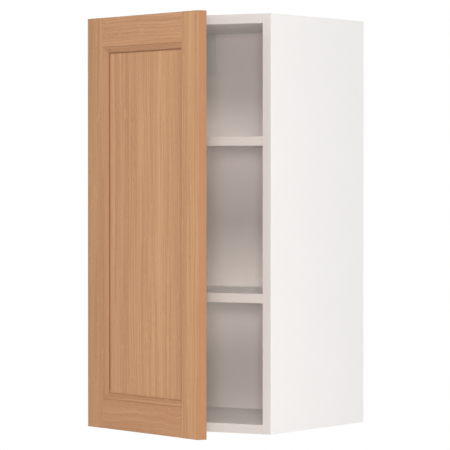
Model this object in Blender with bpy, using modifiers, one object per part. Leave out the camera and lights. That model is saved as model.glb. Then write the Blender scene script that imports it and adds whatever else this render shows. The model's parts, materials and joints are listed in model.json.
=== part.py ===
"""Hanging wall cabinet: a white carcass with two shelves and a framed oak door on two concealed hinges.

Metres, +Z up, +X right seen from the front, +Y towards the wall. The origin is on the wall plane, at the
middle of the top panel's rear edge. The door stands ajar. Each hinge has one link, so the moving pieces form
a chain: carcass, link, door. Everything on the door and the links is placed as if the door were shut, under
two empties that hold the axes and the opening angle.
"""

import math

import bmesh
import bpy
from mathutils import Matrix, Vector

MM = 0.001
CLEAR = 0.3 * MM  # between neighbouring pieces
ROUND = 24  # sides of a large round piece
ROUND_SMALL = 16  # of a pin, a bolt or a cam
ROUND_HOLE = 12  # of a screw hole
ROUND_BOARD_HOLE = 10  # of a peg hole

# Carcass
WIDTH = 400 * MM
HEIGHT = 800 * MM
DEPTH = 370 * MM
BOARD = 18 * MM
BOARD_EDGE = 0.6 * MM  # rounding of the boards' edges
BACK_BOARD = 3 * MM
RAIL_SPACE = 12 * MM  # between the back panel and the wall
GROOVE = 6 * MM  # depth of the grooves that hold the back panel

# Shelves on pegs, and the rows of peg holes
SHELF = 18 * MM
SHELF_SETBACK = 2 * MM
SHELF_SHARES = (("shelf_lower", 1 / 3), ("shelf_upper", 2 / 3))  # wanted height as a share of the carcass's
HOLE_ROW_END = 126.5 * MM  # least distance from a row's end to the top and the underside
HOLE_PITCH = 60 * MM
HOLE_SETBACK = 37 * MM  # from the front edge
HOLE_ROW_GAP = 224 * MM  # between the front row and the rear row
HOLE_RADIUS = 2.5 * MM
HOLE_DEPTH = 12 * MM
PEG_OUT = 8 * MM
PEG_IN = 10 * MM
PEG_TIP = 0.4 * MM

# Cam locks that hold the boards together
CAM_RADIUS = 7.2 * MM
CAM_HEIGHT = 12 * MM
CAM_FROM_SIDE = 26 * MM
CAM_FROM_EDGE = 40 * MM
CAM_CROSS = (9 * MM, 2 * MM, 2.5 * MM)  # length, width and depth of the driver's cross

# Hanging fittings, in both upper rear corners
COVER_WIDTH = 50 * MM
COVER_HEIGHT = 80 * MM
COVER_TOP = 4 * MM  # below the top panel
COVER_THICKNESS = 1.6 * MM
COVER_LIP = 4 * MM  # how far the cover laps over the back panel
BRACKET_STEEL = 2 * MM
BRACKET_FROM_WALL = 3.5 * MM
BOLT_RADIUS = 3 * MM
BOLT_HEAD = 5.6 * MM
BOLT_HEAD_HEIGHT = 4 * MM

# Door
DOOR_REVEAL = 1.5 * MM  # of the carcass's front outside the door's edge, all round
DOOR_THICKNESS = 19 * MM
DOOR_GAP = 2 * MM  # behind the shut door
FRAME_FLAT = 57 * MM  # flat width of a stile or rail
MOULDING = 12 * MM  # width of the moulding inside it
MOULDING_LIP = 0.6 * MM  # between the moulding's edge and the frame's back lip
MOULDING_STEP = 1.2 * MM  # height at the moulding's edge above the panel
MOULDING_BULGE = 0.9 * MM
QUIRK = 0.9 * MM  # step where the moulding starts
ARRIS = 1.4 * MM  # rounding of the door's front edges
PANEL_SUNK = 9 * MM  # panel's face behind the frame's
PANEL = 6 * MM
PANEL_TONGUE = 9 * MM
BUMPER_RADIUS = 4 * MM

# Screws and pins
SCREW_HEAD = 3.6 * MM
SCREW_HEAD_HEIGHT = 2 * MM
SCREW_SHANK = 2.1 * MM
SCREW_CROSS = (4 * MM, 0.9 * MM, 1 * MM)
BOARD_SCREW = 11 * MM  # length of a screw that goes into a board
ARM_SCREW = 6 * MM
PIN_RADIUS = 1.4 * MM
PIN_CLEAR = 0.15 * MM
PIN_HEAD = 0.5 * MM  # of a pin beyond what it goes through

# Hinge cups. Axis B, the link's axis in the cup, is parallel to the door's hinge edge.
HINGE_FROM_END = 100 * MM  # from the carcass's top and underside
CUP_RADIUS = 17.5 * MM
CUP_FROM_EDGE = 5 * MM  # from the door's hinge edge to the cup's side
CUP_DEPTH = 12 * MM
CUP_WALL = 1 * MM
CUP_SCREW_OUT = 6.5 * MM  # of a flange screw beyond the cup's radius, along the door's height
CUP_SCREW_OFFSET = 6 * MM  # of the flange screws from the cup's middle, away from the hinge edge
FLANGE = 1.2 * MM
FLANGE_INSET = 3.5 * MM  # from the cup's side to the flange's, across the door
FLANGE_END = 6 * MM  # of the flange beyond its screws
AXIS_B_IN_CUP = 5.2 * MM  # from the cup's side
AXIS_B_DEEP = 3.8 * MM  # in from the door's back face

# Hinge plates and arms. Axis A is the link's axis on the arm.
AXIS_A_BEHIND = 2.5 * MM  # behind the carcass's front
AXIS_A_FROM_B = 37.8 * MM  # across the carcass, with the door shut
PLATE = 2 * MM
PLATE_SCREW_GAP = 32 * MM
PLATE_END = 7 * MM  # of the plate's wings beyond their screws
PLATE_HALF = 6 * MM  # half a wing's width
PLATE_BODY_START = 20 * MM  # behind the carcass's front
ARM_INNER = 6 * MM  # half the channel's inner height
ARM_STEEL = 1.4 * MM
ARM_LENGTH = 60 * MM
ARM_OVERHANG = 2 * MM  # of the arm beyond the plate's body
ARM_RISE = 11 * MM  # of the arm above the side panel
ARM_FOOT = 3 * MM  # from the side panel to the channel's sides
ARM_CRANK = 22 * MM  # where the arm bends towards axis A, behind the carcass's front
ARM_CRANK_STEP = 4 * MM  # of the channel's sides past the bend
ARM_NOSE = 3.2 * MM  # radius of the ears about axis A
ARM_WEB = 12 * MM  # how far the web goes on past the bend
ARM_WEB_STEEL = 1 * MM  # of the web past the bend, measured along the side panel
ARM_WEB_SLANT = 2 * MM
ARM_SCREW_FROM_END = 10 * MM

# Hinge links
DOOR_AJAR = math.radians(25.56)
LINK_SHARE = -0.31  # angle that the link turns for each degree of the door
LINK_HALF = 4.2 * MM  # half its height along Z
LINK_BAR = 4 * MM  # width of its bar
LINK_KNUCKLE = 5 * MM  # width about each axis
LINK_DIP = 6.2 * MM
LINK_WINDOW = (0.66, 0.55)  # the gap between its side plates, as a share of its length and of its height

# Places that follow from the sizes
TOP = BOARD / 2
UNDERSIDE = TOP - HEIGHT
FRONT = -DEPTH
INNER = WIDTH / 2 - BOARD  # inner faces of the side panels, at -INNER and +INNER
BACK_FRONT = -RAIL_SPACE - BACK_BOARD  # the back panel's front face
HOLE_ROWS = (FRONT + HOLE_SETBACK, FRONT + HOLE_SETBACK + HOLE_ROW_GAP)
HOLE_COUNT = 1 + int((HEIGHT - 2 * HOLE_ROW_END) / HOLE_PITCH)
DOOR_WIDTH = WIDTH - 2 * DOOR_REVEAL
DOOR_HEIGHT = HEIGHT - 2 * DOOR_REVEAL
DOOR_LOW = UNDERSIDE + DOOR_REVEAL
DOOR_LEFT = -DOOR_WIDTH / 2
HINGE_HEIGHTS = {"upper": TOP - HINGE_FROM_END, "lower": UNDERSIDE + HINGE_FROM_END}
PIN_HOLE = PIN_RADIUS + PIN_CLEAR
CUP_SCREW_OUT_Z = CUP_RADIUS + CUP_SCREW_OUT  # from the cup's middle
AXIS_B = (CUP_FROM_EDGE + AXIS_B_IN_CUP, AXIS_B_DEEP)  # from the hinge edge, and in from the back face
CUP_MIDDLE = CUP_RADIUS - AXIS_B_IN_CUP  # from axis B, across the door
AXIS_A = (DOOR_LEFT + AXIS_B[0] + AXIS_A_FROM_B, FRONT + AXIS_A_BEHIND)

parts = bpy.data.collections.new("hanging_wall_cabinet")
cutters = bpy.data.collections.new("cutters")


def clear_scene():
    for old in list(bpy.data.objects):
        bpy.data.objects.remove(old, do_unlink=True)


def make_material(name, colour, roughness, metallic=0.0):
    material = bpy.data.materials.new(name)
    material.use_nodes = True
    shader = material.node_tree.nodes["Principled BSDF"]
    shader.inputs["Base Color"].default_value = (*colour, 1)
    shader.inputs["Roughness"].default_value = roughness
    shader.inputs["Metallic"].default_value = metallic
    return material


def place(name, mesh, material, location=(0, 0, 0), rotation=(0, 0, 0), parent=None):
    """A piece of the cabinet, or a cutter where the material is None."""
    thing = bpy.data.objects.new(name, mesh)
    thing.location = location
    thing.rotation_euler = rotation
    thing.parent = parent
    if material is None:
        cutters.objects.link(thing)
        thing.hide_render = True
        thing.display_type = "WIRE"
    else:
        parts.objects.link(thing)
        mesh.materials.append(material)
    return thing


def finished(name, bm, smooth=False):
    bmesh.ops.recalc_face_normals(bm, faces=bm.faces)
    mesh = bpy.data.meshes.new(name)
    bm.to_mesh(mesh)
    bm.free()
    if smooth:
        mesh.shade_smooth()
        mesh.set_sharp_from_angle(angle=math.radians(40))
    return mesh


def box_mesh(name, size):
    bm = bmesh.new()
    bmesh.ops.create_cube(bm, size=1, matrix=Matrix.Diagonal((*size, 1)))
    return finished(name, bm)


def box(name, low, high, material, edge=0.0, parent=None):
    """A box between two corners, with its origin in the middle and rounded edges."""
    low, high = Vector(low), Vector(high)
    thing = place(name, box_mesh(name, high - low), material, (low + high) / 2, parent=parent)
    if edge:
        bevel = thing.modifiers.new("edges", "BEVEL")
        bevel.width = edge
        bevel.segments = 2
        bevel.limit_method = "ANGLE"
    return thing


def rods_mesh(name, radius, length, centres, axis, sides=ROUND):
    """Equal cylinders along X, Y or Z, one about each centre."""
    turn = {
        "X": Matrix.Rotation(math.pi / 2, 4, "Y"),
        "Y": Matrix.Rotation(math.pi / 2, 4, "X"),
        "Z": Matrix(),
    }
    bm = bmesh.new()
    for centre in centres:
        bmesh.ops.create_cone(
            bm,
            cap_ends=True,
            segments=sides,
            radius1=radius,
            radius2=radius,
            depth=length,
            matrix=Matrix.Translation(centre) @ turn[axis],
        )
    return finished(name, bm, smooth=True)


def outline_mesh(name, points, thickness):
    """A flat outline in XY with its thickness along Z, centred on Z = 0."""
    curve = bpy.data.curves.new(name, "CURVE")
    curve.dimensions = "2D"
    curve.fill_mode = "BOTH"
    curve.extrude = thickness / 2
    spline = curve.splines.new("POLY")
    spline.points.add(len(points) - 1)
    for corner, (x, y) in zip(spline.points, points):
        corner.co = (x, y, 0, 1)
    spline.use_cyclic_u = True
    guide = bpy.data.objects.new(name, curve)
    bpy.context.scene.collection.objects.link(guide)
    graph = bpy.context.evaluated_depsgraph_get()
    raw = bpy.data.meshes.new_from_object(guide.evaluated_get(graph))
    bpy.data.objects.remove(guide)
    bm = bmesh.new()
    bm.from_mesh(raw)
    bpy.data.meshes.remove(raw)
    bmesh.ops.remove_doubles(bm, verts=bm.verts, dist=1e-6)
    return finished(name, bm, smooth=True)


def turned(name, profile, material, location, rotation=(0, 0, 0), parent=None):
    """A piece turned about its own Z, from (radius, height) points that run down its outer side."""
    mesh = bpy.data.meshes.new(name)
    mesh.from_pydata([(r, 0, z) for r, z in profile], [(i, i + 1) for i in range(len(profile) - 1)], [])
    thing = place(name, mesh, material, location, rotation, parent)
    screw = thing.modifiers.new("turn", "SCREW")
    screw.steps = ROUND // 2
    screw.render_steps = ROUND // 2
    screw.use_merge_vertices = True
    screw.merge_threshold = 1e-5
    screw.use_smooth_shade = True
    return thing


def combine(thing, other, operation="DIFFERENCE"):
    boolean = thing.modifiers.new(other.name, "BOOLEAN")
    boolean.object = other
    boolean.operation = operation


def cut_rods(thing, name, radius, length, centres, axis, parent=None, sides=ROUND_HOLE):
    mesh = rods_mesh(name, radius, length, centres, axis, sides)
    combine(thing, place(name, mesh, None, parent=parent))


def cut_cross(thing, top, cross):
    """A driver's cross in a piece that faces along its own Z, cut from the height of its top."""
    length, width, depth = cross
    for label, size in (("x", (length, width)), ("y", (width, length))):
        name = f"{thing.name}_cross_{label}"
        slot = place(name, box_mesh(name, (*size, 2 * depth)), None, (0, 0, top), parent=thing)
        combine(thing, slot)


def arc(centre, radius, start, end, steps):
    """Points along an arc, angles in degrees."""
    angles = [math.radians(start + (end - start) * i / steps) for i in range(steps + 1)]
    return [(centre[0] + radius * math.cos(a), centre[1] + radius * math.sin(a)) for a in angles]


def bar_outline(path, widths):
    """The outline of a bar along a path, with a round end about its first and last points."""
    left, right = [], []
    for i, here in enumerate(path):
        before, after = path[max(i - 1, 0)], path[min(i + 1, len(path) - 1)]
        along = (Vector(after) - Vector(before)).normalized()
        across = Vector((-along.y, along.x)) * widths[i] / 2
        left.append(tuple(Vector(here) + across))
        right.append(tuple(Vector(here) - across))
    ends = []
    for here, inward, width in ((path[-1], path[-2], widths[-1]), (path[0], path[1], widths[0])):
        away = Vector(here) - Vector(inward)
        angle = math.degrees(math.atan2(away.y, away.x))
        ends.append(arc(here, width / 2, angle + 90, angle - 90, 8)[1:-1])
    return left + ends[0] + right[::-1] + ends[1]


# Carcass

def hole_height(number):
    """Height of a peg hole's centre, counted from the bottom of its row."""
    return UNDERSIDE + HOLE_ROW_END + HOLE_PITCH * number


def back_groove():
    """The cutter of the groove that holds the back panel, in the inner faces of all four boards."""
    low = (-INNER - GROOVE, BACK_FRONT - CLEAR, UNDERSIDE + BOARD - GROOVE)
    high = (INNER + GROOVE, -RAIL_SPACE + CLEAR, TOP - BOARD + GROOVE)
    return box("back_groove", low, high, None)


def side_panels(groove):
    for side, sign in (("left", -1), ("right", 1)):
        faces = sorted((sign * INNER, sign * WIDTH / 2))
        name = "side_panel_" + side
        board = box(name, (faces[0], FRONT, UNDERSIDE), (faces[1], 0, TOP), white, BOARD_EDGE)
        combine(board, groove)
        heights = [hole_height(number) for number in range(HOLE_COUNT)]
        centres = [(sign * INNER, y, z) for y in HOLE_ROWS for z in heights]
        name = "peg_holes_" + side
        cut_rods(board, name, HOLE_RADIUS, 2 * HOLE_DEPTH, centres, "X", sides=ROUND_BOARD_HOLE)
        if side == "left":
            centres = [
                (-INNER, HOLE_ROWS[0], z + offset)
                for z in HINGE_HEIGHTS.values()
                for offset in (-PLATE_SCREW_GAP / 2, PLATE_SCREW_GAP / 2)
            ]
            radius = SCREW_SHANK + CLEAR
            cut_rods(board, "hinge_holes", radius, 2 * HOLE_DEPTH, centres, "X", sides=ROUND_BOARD_HOLE)


def cross_panels(groove):
    """Top and bottom panels, and the cam locks in their outer faces."""
    for level, outer, sign in (("top", TOP, 1), ("bottom", UNDERSIDE, -1)):
        faces = sorted((outer, outer - sign * BOARD))
        low = (-INNER + CLEAR, FRONT, faces[0])
        board = box(level + "_panel", low, (INNER - CLEAR, 0, faces[1]), white, BOARD_EDGE)
        combine(board, groove)
        spots = [
            (side, end, x, y)
            for side, x in (("left", -INNER + CAM_FROM_SIDE), ("right", INNER - CAM_FROM_SIDE))
            for end, y in (("front", FRONT + CAM_FROM_EDGE), ("rear", -CAM_FROM_EDGE))
        ]
        centres = [(x, y, outer) for _, _, x, y in spots]
        bore = 2 * (CAM_HEIGHT + 2 * CLEAR)
        cut_rods(board, "cam_bores_" + level, CAM_RADIUS + CLEAR, bore, centres, "Z", sides=ROUND)
        for side, end, x, y in spots:
            name = f"cam_lock_{level}_{side}_{end}"
            mesh = rods_mesh(name, CAM_RADIUS, CAM_HEIGHT, [(0, 0, -CAM_HEIGHT / 2)], "Z", ROUND_SMALL)
            turn = (0, 0, 0) if sign > 0 else (math.pi, 0, 0)
            cam = place(name, mesh, zinc, (x, y, outer - sign * CLEAR), turn)
            cut_cross(cam, 0, CAM_CROSS)


def back_panel():
    reach = GROOVE - CLEAR
    low = (-INNER - reach, BACK_FRONT, UNDERSIDE + BOARD - reach)
    board = box("back_panel", low, (INNER + reach, -RAIL_SPACE, TOP - BOARD + reach), white)
    for sign in (-1, 1):
        edges = sorted((sign * (INNER + GROOVE + CLEAR), sign * (INNER - COVER_WIDTH + COVER_LIP)))
        low = (edges[0], BACK_FRONT - CLEAR, TOP - BOARD - COVER_TOP - COVER_HEIGHT + COVER_LIP)
        high = (edges[1], -RAIL_SPACE + CLEAR, TOP - BOARD - COVER_TOP - COVER_LIP)
        combine(board, box(f"fitting_window_{sign}", low, high, None))


def shelves():
    for name, share in SHELF_SHARES:
        peg_z = hole_height(round((HEIGHT * share - HOLE_ROW_END) / HOLE_PITCH))
        base = peg_z + HOLE_RADIUS + CLEAR
        low = (-INNER + 3 * CLEAR, FRONT + SHELF_SETBACK, base)
        box(name, low, (INNER - 3 * CLEAR, BACK_FRONT - 2 * CLEAR, base + SHELF), white, BOARD_EDGE)
        neck = HOLE_RADIUS - CLEAR
        profile = [
            (0, PEG_OUT),
            (HOLE_RADIUS - PEG_TIP, PEG_OUT),
            (HOLE_RADIUS, PEG_OUT - PEG_TIP),
            (HOLE_RADIUS, CLEAR),
            (neck, CLEAR),
            (neck, -PEG_IN),
            (0, -PEG_IN),
        ]
        for side, sign in (("left", -1), ("right", 1)):
            for end, y in zip(("front", "rear"), HOLE_ROWS):
                peg = f"{name}_peg_{side}_{end}"
                turned(peg, profile, plastic, (sign * INNER, y, peg_z), (0, -sign * math.pi / 2, 0))


def hanging_fittings():
    """A steel angle with its bolt behind each window of the back panel, and the cover in front of it."""
    for side, sign in (("left", -1), ("right", 1)):
        cover_high = TOP - BOARD - COVER_TOP
        cover_low = cover_high - COVER_HEIGHT
        edges = sorted((sign * (INNER - CLEAR), sign * (INNER - COVER_WIDTH)))
        face = BACK_FRONT - CLEAR
        low = (edges[0], face - COVER_THICKNESS, cover_low)
        box("hanging_cover_" + side, low, (edges[1], face, cover_high), plastic, BOARD_EDGE)

        # The angle's outline, seen from above: one leg on the side panel, the other along the wall.
        wall_leg = -BRACKET_FROM_WALL
        outer = INNER - CLEAR
        leg = COVER_WIDTH - 2 * COVER_LIP
        points = [
            (outer, wall_leg),
            (outer, -RAIL_SPACE + 3 * CLEAR),
            (outer - BRACKET_STEEL, -RAIL_SPACE + 3 * CLEAR),
            (outer - BRACKET_STEEL, wall_leg - BRACKET_STEEL),
            (outer - leg, wall_leg - BRACKET_STEEL),
            (outer - leg, wall_leg),
        ]
        points = [(sign * x, y) for x, y in points]
        middle = (cover_low + cover_high) / 2
        name = "hanging_bracket_" + side
        mesh = outline_mesh(name, points, COVER_HEIGHT - 4 * COVER_LIP)
        bracket = place(name, mesh, steel, (0, 0, middle))
        bolt_x = sign * (INNER - COVER_WIDTH / 2)
        hole = [(bolt_x, wall_leg, middle)]
        name = "bolt_hole_" + side
        cut_rods(bracket, name, BOLT_RADIUS + CLEAR, 6 * BRACKET_STEEL, hole, "Y", sides=ROUND_SMALL)

        head_back = wall_leg - BRACKET_STEEL - CLEAR
        name = "hanging_bolt_" + side
        length = BOLT_HEAD_HEIGHT - head_back - CLEAR
        middle_y = length / 2 - BOLT_HEAD_HEIGHT
        shank = rods_mesh(name, BOLT_RADIUS, length, [(0, middle_y, 0)], "Y", ROUND_SMALL)
        bolt = place(name, shank, steel, (bolt_x, head_back, middle))
        hexagons = (
            ("head", BOLT_HEAD, -BOLT_HEAD_HEIGHT / 2, "UNION"),
            ("socket", BOLT_HEAD / 2, -BOLT_HEAD_HEIGHT, "DIFFERENCE"),
        )
        for label, radius, y, operation in hexagons:
            own = f"{name}_{label}"
            mesh = rods_mesh(own, radius, BOLT_HEAD_HEIGHT, [(0, y, 0)], "Y", sides=6)
            combine(bolt, place(own, mesh, None, parent=bolt), operation)


# Hinges, carcass side

def screw(name, location, direction, length, parent=None):
    """A pan-head screw whose head's underside is at the location and whose head faces along X or Y."""
    profile = [
        (0, SCREW_HEAD_HEIGHT),
        (SCREW_HEAD * 0.6, SCREW_HEAD_HEIGHT),
        (SCREW_HEAD * 0.92, SCREW_HEAD_HEIGHT * 0.7),
        (SCREW_HEAD, 0),
        (SCREW_SHANK, 0),
        (SCREW_SHANK, -length * 0.85),
        (0, -length),
    ]
    turn = {"X": (0, math.pi / 2, 0), "Y": (-math.pi / 2, 0, 0)}
    thing = turned(name, profile, steel, location, turn[direction], parent)
    cut_cross(thing, SCREW_HEAD_HEIGHT, SCREW_CROSS)


def hinge_plate(level, z):
    """A winged mounting plate on the side panel, with a raised body that the arm sits on."""
    body = ARM_RISE - ARM_STEEL - CLEAR
    half_wing, half_body = PLATE_SCREW_GAP / 2 + PLATE_END, ARM_INNER - CLEAR
    face = -INNER + CLEAR
    y = HOLE_ROWS[0]
    name = "hinge_plate_" + level
    low = (face, y - PLATE_HALF, z - half_wing)
    plate = box(name, low, (face + PLATE, y + PLATE_HALF, z + half_wing), steel, BOARD_EDGE)
    low = (face, FRONT + PLATE_BODY_START, z - half_body)
    high = (face + body - CLEAR, FRONT + ARM_LENGTH, z + half_body)
    combine(plate, box(name + "_body", low, high, None), "UNION")
    holes = [(face, y, z + side * PLATE_SCREW_GAP / 2) for side in (-1, 1)]
    cut_rods(plate, name + "_holes", SCREW_SHANK + CLEAR, 4 * PLATE, holes, "X")
    thread = [(face + body, FRONT + ARM_LENGTH - ARM_SCREW_FROM_END, z)]
    cut_rods(plate, name + "_thread", SCREW_SHANK + CLEAR, 2 * (body - PLATE), thread, "X")
    for end, side in (("low", -1), ("high", 1)):
        spot = (face + PLATE + CLEAR, y, z + side * PLATE_SCREW_GAP / 2)
        screw(f"hinge_plate_screw_{level}_{end}", spot, "X", BOARD_SCREW)


def hinge_arm(level, z):
    """A channel over the plate's body, with a cranked nose that carries axis A between two ears."""
    name = "hinge_arm_" + level
    half = ARM_INNER + ARM_STEEL
    back = ARM_LENGTH + ARM_OVERHANG
    axis = Vector(AXIS_A) - Vector((-INNER, FRONT))
    away = Vector((ARM_RISE, ARM_CRANK)) - axis
    tip = math.degrees(math.atan2(away.y, away.x))
    outline = [(ARM_FOOT, back), (ARM_FOOT, ARM_CRANK - ARM_CRANK_STEP)]
    outline += arc(axis, ARM_NOSE, tip + 90, tip + 270, 8)
    outline += [(ARM_RISE, ARM_CRANK), (ARM_RISE, back)]
    arm = place(name, outline_mesh(name, outline, 2 * half), steel, (-INNER, FRONT, z))

    # The space between the channel's sides, open towards the side panel and about axis A.
    under_web = ARM_RISE - ARM_STEEL
    slope = (axis.y + ARM_NOSE - ARM_CRANK) / (axis.x - ARM_RISE)
    web_end = ARM_CRANK + slope * ARM_WEB
    past = ARM_LENGTH / 6  # of the cutter beyond the arm
    channel = [
        (-past, back + past),
        (under_web, back + past),
        (under_web, ARM_CRANK - ARM_WEB_STEEL),
        (under_web + ARM_WEB, web_end - ARM_WEB_STEEL),
        (under_web + ARM_WEB + ARM_WEB_SLANT, web_end + past),
        (axis.x + past, web_end + past),
        (axis.x + past, -past),
        (-past, -past),
    ]
    cutter = outline_mesh(name + "_channel", channel, 2 * ARM_INNER)
    combine(arm, place(name + "_channel", cutter, None, (-INNER, FRONT, z)))

    pin_at = (*AXIS_A, z)
    cut_rods(arm, name + "_pin_hole", PIN_HOLE, 4 * half, [pin_at], "Z", sides=ROUND_SMALL)
    screw_y = FRONT + ARM_LENGTH - ARM_SCREW_FROM_END
    hole = [(-INNER + ARM_RISE, screw_y, z)]
    cut_rods(arm, name + "_screw_hole", SCREW_SHANK + CLEAR, 4 * ARM_STEEL, hole, "X")
    screw("hinge_arm_screw_" + level, (-INNER + ARM_RISE + CLEAR, screw_y, z), "X", ARM_SCREW)
    pin = "hinge_arm_pin_" + level
    mesh = rods_mesh(pin, PIN_RADIUS, 2 * half + 2 * PIN_HEAD, [(0, 0, 0)], "Z", ROUND_SMALL)
    place(pin, mesh, steel, pin_at)


# Hinges, moving side

def empty(name, location, turn, parent=None):
    axis = bpy.data.objects.new(name, None)
    parts.objects.link(axis)
    axis.location = location
    axis.rotation_euler = (0, 0, turn)
    axis.parent = parent
    return axis


def make_axes():
    """The two axes in a chain. Their children are placed as if the door were shut."""
    a = Vector((*AXIS_A, 0))
    b = Vector((DOOR_LEFT + AXIS_B[0], FRONT - DOOR_GAP - AXIS_B[1], 0))
    link = empty("link_axis", a, -LINK_SHARE * DOOR_AJAR)
    door = empty("door_axis", b - a, -(1 - LINK_SHARE) * DOOR_AJAR, link)
    return link, door, b - a


def hinge_link(level, z, link_axis, to_b):
    """A gooseneck of two side plates joined at both ends, which dips into the cup when the door is shut."""
    span = to_b.length
    along = Vector((to_b.x, to_b.y)) / span
    across = Vector((along.y, -along.x))
    # Shares of the way from B to A, and of the dip off the straight line between them.
    stations = [
        (0, 0),
        (0.07, -0.72),
        (0.18, -1),
        (0.38, -0.88),
        (0.62, 0.05),
        (0.78, 0.42),
        (0.90, 0.25),
        (1, 0),
    ]
    path = [tuple(along * span * (1 - s) + across * LINK_DIP * off) for s, off in stations]
    widths = [LINK_KNUCKLE] + [LINK_BAR] * (len(path) - 2) + [LINK_KNUCKLE]
    name = "hinge_link_" + level
    mesh = outline_mesh(name, bar_outline(path, widths), 2 * LINK_HALF)
    link = place(name, mesh, steel, (0, 0, z), parent=link_axis)
    for label, (x, y) in (("a", path[-1]), ("b", path[0])):
        hole = [(x, y, z)]
        cut_rods(link, f"{name}_hole_{label}", PIN_HOLE, 4 * LINK_HALF, hole, "Z", link_axis, ROUND_SMALL)
    long, high = LINK_WINDOW
    window = box_mesh(name + "_window", (span * long, 4 * LINK_BAR, 2 * LINK_HALF * high))
    turn = (0, 0, math.atan2(to_b.y, to_b.x))
    middle = (*(along * span / 2), z)
    combine(link, place(name + "_window", window, None, middle, turn, link_axis))


def cup_screw_spots(z):
    """The flange screws' places on the door's back face, in the door axis's frame."""
    return [(CUP_MIDDLE + CUP_SCREW_OFFSET, AXIS_B[1], z + side * CUP_SCREW_OUT_Z) for side in (-1, 1)]


def hinge_cup(level, z, door_axis):
    """The cup that is let into the door's back, its flange and screws, and the pin on axis B."""
    back = AXIS_B[1]  # the door's back face, in the axis's frame
    name = "hinge_cup_" + level
    rim = back + CLEAR + FLANGE
    length = rim - (back - CUP_DEPTH)
    middle = (CUP_MIDDLE, rim - length / 2, z)
    body = rods_mesh(name, CUP_RADIUS, length, [(0, 0, 0)], "Y", ROUND)
    cup = place(name, body, steel, middle, parent=door_axis)
    half_x, half_z = CUP_RADIUS - FLANGE_INSET, CUP_SCREW_OUT_Z + FLANGE_END
    low = (CUP_MIDDLE - half_x, back + CLEAR, z - half_z)
    high = (CUP_MIDDLE + half_x, rim, z + half_z)
    combine(cup, box(name + "_flange", low, high, None, BOARD_EDGE, door_axis), "UNION")
    inside = Vector(middle) + Vector((0, CUP_WALL, 0))
    hollow = rods_mesh(name + "_hollow", CUP_RADIUS - CUP_WALL, length, [inside], "Y", ROUND)
    combine(cup, place(name + "_hollow", hollow, None, parent=door_axis))
    cut_rods(cup, name + "_holes", SCREW_SHANK + CLEAR, 6 * FLANGE, cup_screw_spots(z), "Y", door_axis)
    for end, (x, _, height) in zip(("low", "high"), cup_screw_spots(z)):
        spot = (x, rim + CLEAR, height)
        screw(f"hinge_cup_screw_{level}_{end}", spot, "Y", BOARD_SCREW, door_axis)
    chord = math.sqrt((CUP_RADIUS - CUP_WALL) ** 2 - (CUP_MIDDLE + PIN_RADIUS) ** 2)
    pin = "hinge_cup_pin_" + level
    mesh = rods_mesh(pin, PIN_RADIUS, 2 * (chord - CLEAR), [(0, 0, 0)], "Z", ROUND_SMALL)
    place(pin, mesh, steel, (0, 0, z), parent=door_axis)


# Door

def frame_outline():
    """Section of a stile or rail: distance in from the door's outer edge, and height above its back face."""
    panel_face = DOOR_THICKNESS - PANEL_SUNK
    inner = FRAME_FLAT + MOULDING
    groove = inner - PANEL_TONGUE
    low, high = panel_face - PANEL - CLEAR, panel_face + CLEAR
    # The moulding rises from the panel in a small step, then bulges gently up to the quirk.
    foot = Vector((inner - MOULDING_LIP, high + MOULDING_STEP))
    head = Vector((FRAME_FLAT + QUIRK / 2, DOOR_THICKNESS - QUIRK))
    steps = 6
    normal = Vector((head - foot).orthogonal().normalized())
    normal *= 1 if normal.y > 0 else -1
    curve = [
        tuple(foot.lerp(head, i / steps) + normal * MOULDING_BULGE * math.sin(math.pi * i / steps))
        for i in range(steps + 1)
    ]
    front = DOOR_THICKNESS - ARRIS
    points = [(inner, 0), (inner, low), (groove, low), (groove, high), (inner - MOULDING_LIP, high)]
    points += curve + [(FRAME_FLAT, DOOR_THICKNESS - QUIRK), (FRAME_FLAT, DOOR_THICKNESS)]
    points += arc((ARRIS, front), ARRIS, 90, 180, 4)
    back_arris = ARRIS / 2
    points += arc((back_arris, back_arris), back_arris, 180, 270, 3)
    return points


def cut_mitre(thing, label, corners, outer, z, door_axis):
    """Cuts a corner of the frame, from points in from the outer edge and up from the door's end."""
    name = f"{thing.name}_mitre_{label}"
    mitre = outline_mesh(name, corners, 3 * DOOR_THICKNESS)
    turn = (math.pi / 2, 0, 0)
    combine(thing, place(name, mitre, None, (outer, AXIS_B[1], z), turn, door_axis))


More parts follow.
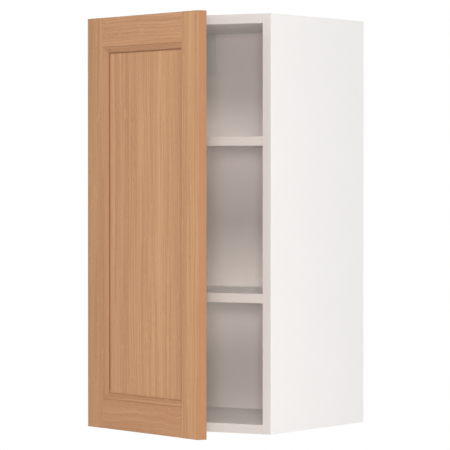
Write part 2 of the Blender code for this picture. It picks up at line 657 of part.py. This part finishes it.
def door_frame(door_axis):
    """Two full-height stiles, and two rails between them, with the moulding mitred where they meet."""
    edge, back = -AXIS_B[0], AXIS_B[1]
    far = edge + DOOR_WIDTH
    ends = (("low", "bottom", 1, DOOR_LOW), ("high", "top", -1, DOOR_LOW + DOOR_HEIGHT))
    shoulder = FRAME_FLAT - CLEAR / 2
    beyond = FRAME_FLAT + 2 * MOULDING
    outline = frame_outline()
    stiles = {}
    for side, sign, outer in (("hinge", 1, edge), ("free", -1, far)):
        name = "door_stile_" + side
        mesh = outline_mesh(name, [(sign * p, -q) for p, q in outline], DOOR_HEIGHT)
        place_at = (outer, back, DOOR_LOW + DOOR_HEIGHT / 2)
        stiles[side] = place(name, mesh, oak, place_at, parent=door_axis)
        corners = [(shoulder, -MOULDING), (shoulder, shoulder), (beyond, beyond), (beyond, -MOULDING)]
        for label, _, up, z in ends:
            cut_mitre(stiles[side], label, [(sign * x, up * y) for x, y in corners], outer, z, door_axis)
    rail_length = DOOR_WIDTH - 2 * (shoulder + CLEAR)
    for _, level, up, z in ends:
        name = "door_rail_" + level
        mesh = outline_mesh(name, [(p, -q) for p, q in outline], rail_length)
        turn = (0, -up * math.pi / 2, 0)
        rail = place(name, mesh, oak, ((edge + far) / 2, back, z), turn, door_axis)
        near, slip = shoulder - MOULDING, 1.5 * CLEAR
        corners = [(near + slip, near), (beyond + slip, beyond), (near + slip, beyond)]
        for label, sign, outer in (("left", 1, edge), ("right", -1, far)):
            cut_mitre(rail, label, [(sign * x, up * y) for x, y in corners], outer, z, door_axis)
    inset = FRAME_FLAT + MOULDING - PANEL_TONGUE + CLEAR
    face = back - DOOR_THICKNESS + PANEL_SUNK
    low = (edge + inset, face, DOOR_LOW + inset)
    high = (far - inset, face + PANEL, DOOR_LOW + DOOR_HEIGHT - inset)
    box("door_panel", low, high, oak, parent=door_axis)
    return stiles["hinge"]


def bore_for_cups(stile, door_axis):
    cups = [(CUP_MIDDLE, AXIS_B[1], z) for z in HINGE_HEIGHTS.values()]
    depth = CUP_DEPTH + CLEAR
    cut_rods(stile, "cup_bores", CUP_RADIUS + CLEAR, 2 * depth, cups, "Y", door_axis, ROUND)
    screws = [spot for z in HINGE_HEIGHTS.values() for spot in cup_screw_spots(z)]
    cut_rods(stile, "cup_screw_holes", SCREW_SHANK + CLEAR, 2 * HOLE_DEPTH, screws, "Y", door_axis)


def door_bumpers(door_axis):
    """Small pads on the door's back, near the corners of its free edge."""
    x = -AXIS_B[0] + DOOR_WIDTH - BOARD / 2
    thickness = DOOR_GAP - 2 * CLEAR
    for end, z in (("low", DOOR_LOW + BOARD), ("high", DOOR_LOW + DOOR_HEIGHT - BOARD)):
        name = "door_bumper_" + end
        mesh = rods_mesh(name, BUMPER_RADIUS, thickness, [(0, thickness / 2, 0)], "Y", ROUND_SMALL)
        place(name, mesh, rubber, (x, AXIS_B[1] + CLEAR, z), parent=door_axis)


clear_scene()
bpy.context.scene.collection.children.link(parts)
bpy.context.scene.collection.children.link(cutters)
white = make_material("white_board", (0.84, 0.84, 0.83), 0.45)
oak = make_material("oak", (0.55, 0.32, 0.17), 0.5)
steel = make_material("nickel_steel", (0.62, 0.61, 0.59), 0.3, 1.0)
zinc = make_material("zinc", (0.5, 0.5, 0.5), 0.45, 1.0)
plastic = make_material("white_plastic", (0.8, 0.8, 0.79), 0.4)
rubber = make_material("clear_pad", (0.7, 0.7, 0.68), 0.3)

groove_cutter = back_groove()
side_panels(groove_cutter)
cross_panels(groove_cutter)
back_panel()
shelves()
hanging_fittings()
link_pivot, door_pivot, a_to_b = make_axes()
hinge_stile = door_frame(door_pivot)
bore_for_cups(hinge_stile, door_pivot)
door_bumpers(door_pivot)
for hinge_level, height in HINGE_HEIGHTS.items():
    hinge_plate(hinge_level, height)
    hinge_arm(hinge_level, height)
    hinge_link(hinge_level, height, link_pivot, a_to_b)
    hinge_cup(hinge_level, height, door_pivot)
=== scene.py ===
"""Looks of the hanging wall cabinet: foil-faced boards, an oiled oak door, nickel-plated hinges."""

import json
import math

import bmesh
import bpy
import numpy as np
from mathutils import Matrix, Vector


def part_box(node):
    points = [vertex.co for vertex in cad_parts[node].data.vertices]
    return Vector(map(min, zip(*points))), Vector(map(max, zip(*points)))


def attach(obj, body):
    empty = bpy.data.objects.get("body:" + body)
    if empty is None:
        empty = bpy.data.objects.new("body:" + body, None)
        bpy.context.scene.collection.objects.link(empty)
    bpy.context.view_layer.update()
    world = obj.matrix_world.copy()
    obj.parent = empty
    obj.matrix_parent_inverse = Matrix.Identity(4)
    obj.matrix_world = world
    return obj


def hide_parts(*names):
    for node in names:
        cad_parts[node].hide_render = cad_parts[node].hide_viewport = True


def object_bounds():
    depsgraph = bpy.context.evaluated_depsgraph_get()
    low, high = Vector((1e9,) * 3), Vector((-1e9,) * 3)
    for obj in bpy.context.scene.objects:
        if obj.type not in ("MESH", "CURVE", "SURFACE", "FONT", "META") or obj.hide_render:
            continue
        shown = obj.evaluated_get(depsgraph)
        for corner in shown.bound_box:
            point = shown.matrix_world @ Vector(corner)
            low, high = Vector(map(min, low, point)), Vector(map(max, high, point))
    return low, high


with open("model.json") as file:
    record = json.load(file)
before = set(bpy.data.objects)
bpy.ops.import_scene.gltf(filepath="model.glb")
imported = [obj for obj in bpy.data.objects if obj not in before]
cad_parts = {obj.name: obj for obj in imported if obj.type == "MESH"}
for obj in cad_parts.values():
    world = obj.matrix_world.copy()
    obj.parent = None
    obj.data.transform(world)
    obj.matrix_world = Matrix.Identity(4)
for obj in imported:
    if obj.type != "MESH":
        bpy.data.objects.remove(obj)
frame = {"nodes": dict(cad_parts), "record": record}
cad_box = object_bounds()

MM = 0.001
NODES = frame["nodes"]


# Places taken from the frame

def ajar_angle():
    """How far the door stands open at rest: the travel of both joints back to the shut door."""
    behaviour = frame["record"]["behaviour"]
    door = next(j for j in behaviour["joints"] if j["name"] == "door_swing")
    link = next(c for c in behaviour["couplings"] if c["follows"] == "door_swing")
    return math.radians(-min(door["range_deg"]) * (1 + link["ratio"]))


AJAR = ajar_angle()
SHUT = Matrix.Rotation(AJAR, 4, "Z")  # turns the door at rest square to the carcass, about the origin


def door_box(node):
    """Lowest and highest corners of a door piece in axes along the door, its face looking down -Y."""
    points = np.array([SHUT @ v.co for v in NODES[node].data.vertices])
    return Vector(points.min(0)), Vector(points.max(0))


CARCASS_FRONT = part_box("side_panel_right")[0].y
CARCASS_REAR = 0  # the wall's plane
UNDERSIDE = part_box("side_panel_right")[0].z
DOOR_LOW = Vector(map(min, door_box("door_stile_hinge")[0], door_box("door_stile_free")[0]))
DOOR_HIGH = Vector(map(max, door_box("door_stile_hinge")[1], door_box("door_stile_free")[1]))
FRAME_FLAT = 57 * MM  # from the door's outer edge to the moulding
MOULDING = 12 * MM
PANEL_START = FRAME_FLAT + MOULDING  # from the door's outer edge to the panel


# Node trees

class Surface:
    """One material's node tree, built from the texture coordinates to the shader."""

    def __init__(self, name):
        self.material = bpy.data.materials.new(name)
        self.material.use_nodes = True
        self.nodes = self.material.node_tree.nodes
        self.links = self.material.node_tree.links
        self.shader = self.nodes["Principled BSDF"]
        self.place = self.node("ShaderNodeTexCoord").outputs["Object"]

    def feed(self, socket, value):
        """A link if the value is another node's output, and the socket's own value otherwise."""
        if isinstance(value, bpy.types.NodeSocket):
            self.links.new(value, socket)
        elif hasattr(value, "__len__") and len(value) == 3 and socket.type == "RGBA":
            socket.default_value = (*value, 1)
        else:
            socket.default_value = value

    def node(self, kind, inputs=(), **settings):
        made = self.nodes.new(kind)
        for key, value in settings.items():
            setattr(made, key, value)
        for slot, value in dict(inputs).items():
            self.feed(made.inputs[slot], value)
        return made

    def math(self, operation, a, b=0.0):
        return self.node("ShaderNodeMath", {0: a, 1: b}, operation=operation).outputs[0]

    def add(self, a, b):
        return self.math("ADD", a, b)

    def subtract(self, a, b):
        return self.math("SUBTRACT", a, b)

    def multiply(self, a, b):
        return self.math("MULTIPLY", a, b)

    def noise(self, where, scale, detail=2.0, roughness=0.5):
        inputs = {"Vector": where, "Scale": scale, "Detail": detail, "Roughness": roughness}
        return self.node("ShaderNodeTexNoise", inputs).outputs["Fac"]

    def stretched(self, where, scale, detail, roughness=0.5):
        """Noise with its own scale along each axis."""
        return self.noise(self.stretch(where, scale), 1, detail, roughness)

    def stretch(self, where, scale):
        return self.node("ShaderNodeMapping", {"Vector": where, "Scale": scale}).outputs[0]

    def ramp(self, value, start, end, low=0.0, high=1.0, smooth=True):
        kind = "SMOOTHSTEP" if smooth else "LINEAR"
        inputs = {"Value": value, "From Min": start, "From Max": end, "To Min": low, "To Max": high}
        return self.node("ShaderNodeMapRange", inputs, interpolation_type=kind).outputs[0]

    def line(self, value, middle, outer, inner):
        """1 within the inner distance of the middle value, fading to 0 at the outer distance."""
        return self.ramp(self.math("ABSOLUTE", self.subtract(value, middle)), outer, inner)

    def mix(self, share, a, b):
        made = self.node("ShaderNodeMix", data_type="RGBA", blend_type="MIX")
        for slot, value in ((0, share), (6, a), (7, b)):
            self.feed(made.inputs[slot], value)
        return made.outputs[2]

    def bump(self, height, distance, strength):
        inputs = {"Height": height, "Distance": distance, "Strength": strength}
        return self.node("ShaderNodeBump", inputs).outputs[0]

    def axes(self, where):
        split = self.node("ShaderNodeSeparateXYZ", {0: where})
        return split.outputs[0], split.outputs[1], split.outputs[2]

    def join(self, x, y, z):
        return self.node("ShaderNodeCombineXYZ", {0: x, 1: y, 2: z}).outputs[0]

    def finish(self, colour, roughness, normal=None, **fixed):
        """The material, with its looks on the shader. Fixed inputs have underscores for spaces."""
        self.feed(self.shader.inputs["Base Color"], colour)
        self.feed(self.shader.inputs["Roughness"], roughness)
        if normal is not None:
            self.feed(self.shader.inputs["Normal"], normal)
        for key, value in fixed.items():
            self.shader.inputs[key.replace("_", " ")].default_value = value
        return self.material


# Oak

OAK_GOLD = (0.655, 0.41, 0.212)
OAK_ROSE = (0.60, 0.335, 0.182)
OAK_LATE = (0.44, 0.22, 0.105)  # the late wood of each ring
OAK_PORE = (0.22, 0.105, 0.048)
OAK_GROOVE_SHADE = (0.24, 0.10, 0.042)  # painted shade in the moulding's groove and in its corner at the panel
OAK_EDGE_SHADE = (0.335, 0.155, 0.062)  # painted shade on the door's outer edges
OAK_SLOPE_SHADE = (0.31, 0.17, 0.083)  # painted shade on the moulding's slope


def wandering_grain(s, board_place, along, seed, wave, wave_pitch):
    """Texture coordinates with Z along the grain, bent as the growth rings wander along the board."""
    x, y, z = s.axes(board_place)
    grain = s.join(x, y, z) if along == "height" else s.join(z, y, x)
    cut = s.node("ShaderNodeMapping", {"Vector": grain, "Location": seed}).outputs[0]
    drift = s.stretched(cut, (9, 9, wave_pitch), 2)
    ripple = s.stretched(cut, (30, 30, 5 * wave_pitch), 1)
    wander = s.multiply(s.subtract(drift, 0.5), wave * 4)
    wander = s.add(wander, s.multiply(s.subtract(ripple, 0.5), wave))
    across, depth, length = s.axes(cut)
    return s.join(s.add(across, wander), depth, length)


def dress_moulding(s, colour, board_place, slope_shade):
    """Painted shade on the moulding's slope, in its groove and in its corner at the panel, and on the
    door's outer edges.
    """
    x, y, z = s.axes(board_place)
    height = s.subtract(z, DOOR_LOW.z)
    near = s.math("MINIMUM", s.subtract(x, DOOR_LOW.x), s.subtract(DOOR_HIGH.x, x))
    near = s.math("MINIMUM", near, height)
    near = s.math("MINIMUM", near, s.subtract(DOOR_HIGH.z, z))
    face = s.ramp(y, DOOR_HIGH.y - 8 * MM, DOOR_HIGH.y - 9 * MM)  # not on the door's back

    # Painted shade on the moulding's slope, in each board's own amount.
    slope = s.multiply(
        s.ramp(near, FRAME_FLAT, FRAME_FLAT + 1.5 * MM),
        s.ramp(near, PANEL_START + 3 * MM, PANEL_START),
    )
    # Painted shade on the door's outer edges, which the side light would make brighter than the face.
    edge = s.ramp(near, 1.3 * MM, 0.4 * MM)
    # Painted shade in the groove at the moulding's outer edge and in the corner where it meets the panel.
    quirk = s.line(near, FRAME_FLAT + 0.4 * MM, 1.1 * MM, 0.3 * MM)
    foot = s.line(near, PANEL_START, 2.2 * MM, 0.5 * MM)
    # The painted shade in the corner is weaker along the bottom, where the moulding faces up to the light.
    foot = s.multiply(foot, s.ramp(height, PANEL_START + 3 * MM, PANEL_START + 9 * MM, 0.15, 1))

    # Painted shade mixed in: on the slope, on the outer edges, in the groove, and in the corner at the
    # panel.
    colour = s.mix(s.multiply(s.multiply(slope, face), slope_shade), colour, OAK_SLOPE_SHADE)
    colour = s.mix(s.multiply(edge, 0.85), colour, OAK_EDGE_SHADE)
    colour = s.mix(s.multiply(s.multiply(quirk, face), 0.35), colour, OAK_GROOVE_SHADE)
    return s.mix(s.multiply(s.multiply(foot, face), 0.72), colour, OAK_GROOVE_SHADE)


def oak(name, along, seed, wave=3 * MM, wave_pitch=3.0, contrast=1.0, shade=0.0, slope_shade=0.20):
    """Oak with its grain along the door's height or width. Each board has its own cut of the tree.

    Its rings wander by about the wave, and more often along the board with a higher wave pitch.
    """
    s = Surface(name)
    square = s.node("ShaderNodeMapping", {"Vector": s.place, "Rotation": (0, 0, AJAR)}).outputs[0]
    wood = wandering_grain(s, square, along, seed, wave, wave_pitch)

    # From the slow changes of tone down to the single pores.
    tone = s.stretched(wood, (9, 9, 0.6), 1.5)
    figure = s.stretched(wood, (60, 60, 1.1), 2)
    rings = s.stretched(wood, (210, 210, 2.0), 2, 0.6)
    lines = s.stretched(wood, (460, 460, 4), 2, 0.6)
    fibres = s.stretched(wood, (1300, 1300, 22), 3, 0.6)
    flecks = s.ramp(s.stretched(wood, (130, 130, 38), 1), 0.64, 0.76)
    early = s.ramp(rings, 0.42, 0.60)
    pores = s.ramp(s.stretched(wood, (1700, 1700, 70), 1.5), 0.58, 0.70)
    pores = s.multiply(pores, s.add(s.multiply(early, 0.75), 0.25))

    colour = s.mix(s.ramp(tone, 0.34, 0.66), OAK_ROSE, OAK_GOLD)
    colour = s.mix(shade, colour, OAK_LATE)
    layers = (
        (figure, 0.34, 0.68, 0.22),
        (rings, 0.38, 0.64, 0.46),
        (lines, 0.40, 0.62, 0.46),
        (fibres, 0.35, 0.75, 0.20),
    )
    for pattern, start, end, share in layers:
        colour = s.mix(s.multiply(s.ramp(pattern, start, end), share * contrast), colour, OAK_LATE)
    colour = s.mix(s.multiply(flecks, 0.25), colour, OAK_GOLD)
    colour = s.mix(s.multiply(pores, 0.5), colour, OAK_PORE)
    # Painted shade on the moulding and on the door's outer edges.
    colour = dress_moulding(s, colour, square, slope_shade)

    roughness = s.ramp(fibres, 0.3, 0.7, 0.42, 0.52, smooth=False)
    roughness = s.add(roughness, s.multiply(pores, 0.2))
    relief = s.bump(s.subtract(s.multiply(fibres, 0.25), pores), 0.08 * MM, 0.6)
    return s.finish(colour, roughness, relief, Coat_Weight=0.1, Coat_Roughness=0.35)


# Foil-faced boards

FOIL_DARK = (0.840, 0.837, 0.830)
FOIL_LIGHT = (0.858, 0.856, 0.851)
# The edge band is painted darker than the foil: painted shade on the boards' front edges.
EDGE_BAND_SHADED = (0.575, 0.562, 0.552)
BAND_SEAM = (0.42, 0.40, 0.38)


def board(name, front, rear=None):
    """White foil on particle board, with an edge band at the front, painted darker than the foil as shade.
    A rear, if given, is bare board.
    """
    s = Surface(name)
    y = s.axes(s.place)[1]
    stipple = s.noise(s.place, 1400, 2, 0.6)
    fine = s.noise(s.place, 4200, 1)
    white = s.mix(s.noise(s.place, 7), FOIL_DARK, FOIL_LIGHT)
    band = s.ramp(y, front + 0.75 * MM, front + 0.45 * MM)
    seam = s.multiply(band, s.ramp(y, front + 0.35 * MM, front + 0.6 * MM))
    # Painted shade: the front edges darker than the foil.
    colour = s.mix(band, white, EDGE_BAND_SHADED)
    colour = s.mix(s.multiply(seam, 0.35), colour, BAND_SEAM)
    roughness = s.ramp(stipple, 0.3, 0.7, 0.40, 0.48, smooth=False)
    height = s.add(s.multiply(stipple, 0.7), s.multiply(fine, 0.3))

    if rear is not None:
        # Chips of the core, in pressed layers of fine and coarse wood.
        bare = s.ramp(y, rear - 0.45 * MM, rear - 0.25 * MM)
        spread = s.stretch(s.place, (420, 420, 260))
        chips = s.node("ShaderNodeTexVoronoi", {"Vector": spread, "Scale": 1}).outputs["Distance"]
        coarse = s.stretched(s.place, (500, 500, 240), 3, 0.7)
        core = s.mix(chips, (0.33, 0.22, 0.13), (0.60, 0.46, 0.31))
        core = s.mix(s.ramp(coarse, 0.35, 0.7), core, (0.46, 0.33, 0.21))
        colour = s.mix(bare, colour, core)
        roughness = s.add(roughness, s.multiply(bare, 0.4))
        height = s.add(height, s.multiply(s.multiply(coarse, bare), 6))

    return s.finish(colour, roughness, s.bump(height, 0.03 * MM, 0.5))


def back_board(name):
    """Thin fibreboard: white lacquer with a fine emboss inside, and bare brown fibres towards the wall."""
    s = Surface(name)
    y = s.axes(s.place)[1]
    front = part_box("back_panel")[0].y
    bare = s.ramp(y, front + 0.4 * MM, front + 0.8 * MM)
    white = s.mix(s.noise(s.place, 6), (0.82, 0.79, 0.77), (0.845, 0.815, 0.795))
    stipple = s.noise(s.place, 1100, 2, 0.6)
    fibres = s.stretched(s.place, (900, 900, 700), 4, 0.75)
    mottle = s.noise(s.place, 60, 3, 0.6)
    brown = s.mix(s.ramp(fibres, 0.3, 0.7), (0.27, 0.17, 0.10), (0.47, 0.33, 0.21))
    brown = s.mix(s.multiply(mottle, 0.4), brown, (0.40, 0.26, 0.16))
    colour = s.mix(bare, white, brown)
    roughness = s.ramp(stipple, 0.3, 0.7, 0.42, 0.52, smooth=False)
    roughness = s.add(roughness, s.multiply(bare, 0.3))
    height = s.add(stipple, s.multiply(fibres, bare))
    return s.finish(colour, roughness, s.bump(height, 0.04 * MM, 0.5))


# Metals and plastics

def metal(name, tint, rough):
    """Plated or cast metal: a faint mottle, fine scratches and duller patches."""
    s = Surface(name)
    mottle = s.noise(s.place, 160, 3, 0.6)
    scratch = s.stretched(s.place, (900, 900, 9000), 2, 0.7)
    grain = s.noise(s.place, 5200, 2, 0.6)
    dark = tuple(0.93 * c for c in tint)
    colour = s.mix(s.ramp(mottle, 0.3, 0.7), dark, tint)
    patch = 0.035  # how far the roughness varies either way
    roughness = s.ramp(mottle, 0.3, 0.7, rough + patch, rough - patch)
    roughness = s.add(roughness, s.multiply(s.ramp(scratch, 0.6, 0.75), 0.12))
    height = s.add(s.multiply(grain, 0.5), s.multiply(scratch, 0.5))
    return s.finish(colour, roughness, s.bump(height, 0.012 * MM, 0.5), Metallic=1.0)


def plastic(name, tint, rough, grain_size=0.35 * MM):
    """Moulded plastic with the fine spark grain of its tool."""
    s = Surface(name)
    cloud = s.noise(s.place, 40)
    grain = s.noise(s.place, 1 / grain_size, 2, 0.6)
    colour = s.mix(cloud, tuple(0.97 * c for c in tint), tint)
    roughness = s.ramp(grain, 0.3, 0.7, rough - 0.05, rough + 0.05, smooth=False)
    return s.finish(colour, roughness, s.bump(grain, 0.02 * MM, 0.6))


# Materials on the CAD nodes

def dress(names, material):
    """The material on CAD nodes, in place of the one that they were packed with."""
    for name in names:
        mesh = NODES[name].data
        mesh.materials.clear()
        mesh.materials.append(material)


def named(*starts):
    return [name for name in NODES if name.startswith(starts)]


def dress_door():
    """Each board of the door in an oak of its own."""
    # Each board's moulding slope gets its own amount of painted shade.
    stile_hinge = oak("oak_stile_hinge", "height", (0.31, 0.02, 1.7), contrast=1.45, slope_shade=0.80)
    stile_free = oak(
        "oak_stile_free", "height", (1.83, 0.05, 4.1), contrast=1.35, shade=0.19, slope_shade=0.14
    )
    panel = oak("oak_panel", "height", (3.17, 0.01, 7.9), 4 * MM, contrast=1.1, shade=0.06)
    rail_top = oak("oak_rail_top", "width", (5.03, 0.03, 2.3), wave_pitch=5, contrast=1.2)
    rail_bottom = oak(
        "oak_rail_bottom", "width", (7.41, 0.04, 5.2), 6 * MM, 7, contrast=1.45, shade=0.28, slope_shade=0
    )
    dress(["door_stile_hinge"], stile_hinge)
    dress(["door_stile_free"], stile_free)
    dress(["door_panel"], panel)
    dress(["door_rail_top"], rail_top)
    dress(["door_rail_bottom"], rail_bottom)


SHELF_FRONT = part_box("shelf_lower")[0].y
CARCASS_BOARDS = named("side_panel", "top_panel", "bottom_panel")
dress(CARCASS_BOARDS, board("white_foil", CARCASS_FRONT, CARCASS_REAR))
dress(["shelf_lower", "shelf_upper"], board("shelf_foil", SHELF_FRONT))
dress(["back_panel"], back_board("lacquered_fibreboard"))
dress_door()
nickel = metal("nickel_plate", (0.66, 0.64, 0.60), 0.27)
dress(named("hinge_", "hanging_bracket", "hanging_bolt"), nickel)
dress(named("cam_lock"), metal("cast_zinc", (0.52, 0.52, 0.53), 0.45))
white_plastic = plastic("white_plastic", (0.80, 0.80, 0.79), 0.42)
dress([n for n in named("shelf_") if "peg" in n], white_plastic)
dress(named("door_bumper"), plastic("clear_pad", (0.72, 0.73, 0.71), 0.28, 0.8 * MM))


# Meshes for the pieces below

def link_object(name, content):
    """An object of a mesh, light or camera in the scene."""
    thing = bpy.data.objects.new(name, content)
    bpy.context.scene.collection.objects.link(thing)
    return thing


def mesh_from(bm, name):
    mesh = bpy.data.meshes.new(name)
    bm.to_mesh(mesh)
    bm.free()
    return mesh


def turned_mesh(name, profile):
    """A closed shape turned about Z, from (radius, height) points that start and end on the axis."""
    bm = bmesh.new()
    points = [bm.verts.new((radius, 0, height)) for radius, height in profile]
    edges = [bm.edges.new(pair) for pair in zip(points, points[1:])]
    whole_turn = {"axis": (0, 0, 1), "cent": (0, 0, 0), "angle": 2 * math.pi, "steps": 32}
    bmesh.ops.spin(bm, geom=points + edges, **whole_turn)
    bmesh.ops.remove_doubles(bm, verts=bm.verts, dist=0.001 * MM)
    bmesh.ops.recalc_face_normals(bm, faces=bm.faces)
    return mesh_from(bm, name)


def bar_mesh(name, size):
    """A closed bar about the origin, used as a cutter."""
    bm = bmesh.new()
    bmesh.ops.create_cube(bm, size=1, matrix=Matrix.Diagonal((*size, 1)))
    return mesh_from(bm, name)


def rounded_plate(name, size, radius):
    """A plate about the origin, its corners rounded seen along Y."""
    bm = bmesh.new()
    rim = []
    steps = 8
    for turn, across, up in ((0, 1, 1), (90, -1, 1), (180, -1, -1), (270, 1, -1)):
        for step in range(steps + 1):
            angle = math.radians(turn + 90 * step / steps)
            x = across * (size.x / 2 - radius) + radius * math.cos(angle)
            z = up * (size.z / 2 - radius) + radius * math.sin(angle)
            rim.append(bm.verts.new((x, -size.y / 2, z)))
    front = bm.faces.new(rim)
    rear = bmesh.ops.extrude_face_region(bm, geom=[front])["geom"]
    moved = [v for v in rear if isinstance(v, bmesh.types.BMVert)]
    bmesh.ops.translate(bm, verts=moved, vec=(0, size.y, 0))
    bmesh.ops.recalc_face_normals(bm, faces=bm.faces)
    return mesh_from(bm, name)


def carved(name, mesh, cutters):
    """An object of the mesh, without what the cutters (mesh, matrix) take out of it."""
    thing = link_object(name, mesh)
    tools = []
    for cutter, matrix in cutters:
        tool = link_object(name + "_tool", cutter)
        tool.matrix_world = matrix
        cut = thing.modifiers.new("cut", "BOOLEAN")
        cut.object = tool
        tools.append(tool)
    bpy.context.view_layer.update()
    graph = bpy.context.evaluated_depsgraph_get()
    whole = bpy.data.meshes.new_from_object(thing.evaluated_get(graph))
    thing.modifiers.clear()
    thing.data = whole
    for tool in tools:
        bpy.data.objects.remove(tool)
    return thing


def soften(thing, width, material):
    """Small round edges, and smooth shading on what is round."""
    sharp = math.radians(35)
    bevel = thing.modifiers.new("edges", "BEVEL")
    bevel.width = width
    bevel.segments = 2
    bevel.limit_method = "ANGLE"
    bevel.angle_limit = sharp
    thing.data.shade_smooth()
    thing.data.set_sharp_from_angle(angle=sharp)
    thing.data.materials.clear()
    thing.data.materials.append(material)


# The hinges' adjusting screws, which the CAD model leaves out

ADJUSTER_BACK = 33 * MM  # behind the carcass's front
ADJUSTER_RADIUS = 2.7 * MM
ADJUSTER_HEIGHT = 1.1 * MM
ADJUSTER_LIFT = 0.1 * MM  # of the head above the arm's web
ADJUSTER_EDGE = 0.08 * MM
CROSS_LENGTH = 3.6 * MM
CROSS_WIDTH = 0.8 * MM
CROSS_DEPTH = 0.7 * MM
SCREW_HEAD_HEIGHT = 2 * MM  # of the CAD model's arm screw
SCREW_GAP = 0.3 * MM  # between that head and the arm's web


def adjusting_screw(level):
    """The screw that shifts the door sideways: a low head with a cross recess on the arm's web."""
    low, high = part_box("hinge_arm_screw_" + level)
    web = high.x - SCREW_HEAD_HEIGHT - SCREW_GAP
    name = "hinge_adjusting_screw_" + level
    shoulder = 0.7 * ADJUSTER_HEIGHT
    brim = 0.85 * ADJUSTER_RADIUS
    head = [
        (0, 0),
        (ADJUSTER_RADIUS, 0),
        (ADJUSTER_RADIUS, shoulder),
        (brim, ADJUSTER_HEIGHT),
        (0, ADJUSTER_HEIGHT),
    ]
    top = Matrix.Translation((0, 0, ADJUSTER_HEIGHT))
    cross = [
        (bar_mesh(name + "_slot", (CROSS_LENGTH, CROSS_WIDTH, 2 * CROSS_DEPTH)), top),
        (bar_mesh(name + "_slot", (CROSS_WIDTH, CROSS_LENGTH, 2 * CROSS_DEPTH)), top),
    ]
    thing = carved(name, turned_mesh(name, head), cross)
    seat = Vector((web + ADJUSTER_LIFT, CARCASS_FRONT + ADJUSTER_BACK, (low.z + high.z) / 2))
    thing.data.transform(Matrix.Translation(seat) @ Matrix.Rotation(math.pi / 2, 4, "Y"))
    soften(thing, ADJUSTER_EDGE, nickel)
    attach(thing, "carcass")


# The covers of the hanging fittings, which the CAD model leaves plain

MARK_RADIUS = 4.5 * MM
MARK_DEPTH = 0.3 * MM
MARK_OFFSET = 1 / 5  # of the cover's height, from its middle
COVER_CORNER = 3.5 * MM
COVER_EDGE = 0.4 * MM


def hanging_cover(side):
    """The moulded cover of a hanging fitting, with two shallow round marks for a screwdriver."""
    node = "hanging_cover_" + side
    low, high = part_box(node)
    size = high - low
    name = "fitting_cover_" + side
    mark = [(0, size.y), (MARK_RADIUS, size.y), (MARK_RADIUS, -MARK_DEPTH), (0, -MARK_DEPTH)]
    towards_room = Matrix.Rotation(math.pi / 2, 4, "X")
    cuts = []
    for up in (-1, 1):
        face = Vector((0, -size.y / 2, up * size.z * MARK_OFFSET))
        cuts.append((turned_mesh(name + "_mark", mark), Matrix.Translation(face) @ towards_room))
    thing = carved(name, rounded_plate(name, size, COVER_CORNER), cuts)
    thing.data.transform(Matrix.Translation((low + high) / 2))
    soften(thing, COVER_EDGE, white_plastic)
    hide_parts(node)
    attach(thing, "carcass")


for hinge_level in ("upper", "lower"):
    adjusting_screw(hinge_level)
for cover_side in ("left", "right"):
    hanging_cover(cover_side)


# Stage

WARM = (1, 0.925, 0.88)
COOL = (0.92, 0.975, 1)
SOFTBOXES = (  # name, azimuth and elevation in degrees, distance and size in metres, watts, colour
    ("side_softbox", 105, 5, 3.4, 2.6, 31, COOL),
    ("front_softbox", 31, 3, 5.6, 0.6, 100, WARM),
    ("high_softbox", 31, 30, 4.0, 1.2, 72, WARM),
    ("low_softbox", 31, -30, 3.2, 1.2, 36, WARM),
    ("door_softbox", -35, 12, 3.8, 1.6, 24, COOL),
)
FILL = 0.30  # strength of the white light from all sides
FLOOR_DROP = 1.38  # metres from the cabinet's underside to the floor
FLOOR_RADIUS = 4.0


def softbox(name, azimuth, elevation, distance, size, power, colour):
    """A round soft light aimed at the cabinet. Azimuth 0 is straight in front, and 90 to its right."""
    middle = (cad_box[0] + cad_box[1]) / 2
    turn, rise = math.radians(azimuth), math.radians(elevation)
    back = Vector((math.sin(turn) * math.cos(rise), -math.cos(turn) * math.cos(rise), math.sin(rise)))
    light = bpy.data.lights.new(name, "AREA")
    light.shape = "DISK"
    light.size = size
    light.energy = power
    light.color = colour
    thing = link_object(name, light)
    thing.location = middle + back * distance
    thing.rotation_euler = back.to_track_quat("Z", "Y").to_euler()


def surroundings():
    """A plain white background to the camera, and a weaker white light to the pieces."""
    world = bpy.data.worlds.new("studio")
    bpy.context.scene.world = world
    world.use_nodes = True
    tree = world.node_tree
    seen = tree.nodes["Background"]
    seen.inputs["Color"].default_value = (1, 1, 1, 1)
    lit = tree.nodes.new("ShaderNodeBackground")
    lit.inputs["Color"].default_value = (1, 1, 1, 1)
    lit.inputs["Strength"].default_value = FILL
    choose = tree.nodes.new("ShaderNodeMixShader")
    path = tree.nodes.new("ShaderNodeLightPath")
    tree.links.new(path.outputs["Is Camera Ray"], choose.inputs[0])
    tree.links.new(lit.outputs[0], choose.inputs[1])
    tree.links.new(seen.outputs[0], choose.inputs[2])
    tree.links.new(choose.outputs[0], tree.nodes["World Output"].inputs["Surface"])


def lay_floor():
    bm = bmesh.new()
    bmesh.ops.create_circle(bm, cap_ends=True, segments=96, radius=FLOOR_RADIUS)
    bmesh.ops.translate(bm, verts=bm.verts, vec=(0, 0, UNDERSIDE - FLOOR_DROP))
    floor = link_object("floor", mesh_from(bm, "floor"))
    s = Surface("pale_floor")
    speck = s.noise(s.place, 30, 4, 0.6)
    colour = s.mix(speck, (0.86, 0.86, 0.855), (0.90, 0.90, 0.895))
    floor.data.materials.append(s.finish(colour, s.ramp(speck, 0.3, 0.7, 0.55, 0.65)))


def camera():
    """The photo's camera, fitted to the cabinet's edges in it."""
    lens = bpy.data.cameras.new("camera")
    lens.lens = 252.1
    lens.sensor_width = 36
    thing = link_object("camera", lens)
    thing.location = (3.1996, -5.5446, -0.303)
    turn, pitch = math.radians(30.931), math.radians(-0.857)
    thing.rotation_euler = (math.pi / 2 + pitch, 0, turn)
    bpy.context.scene.camera = thing


bpy.context.scene.view_settings.view_transform = "Standard"
for settings in SOFTBOXES:
    softbox(*settings)
surroundings()
lay_floor()
camera()
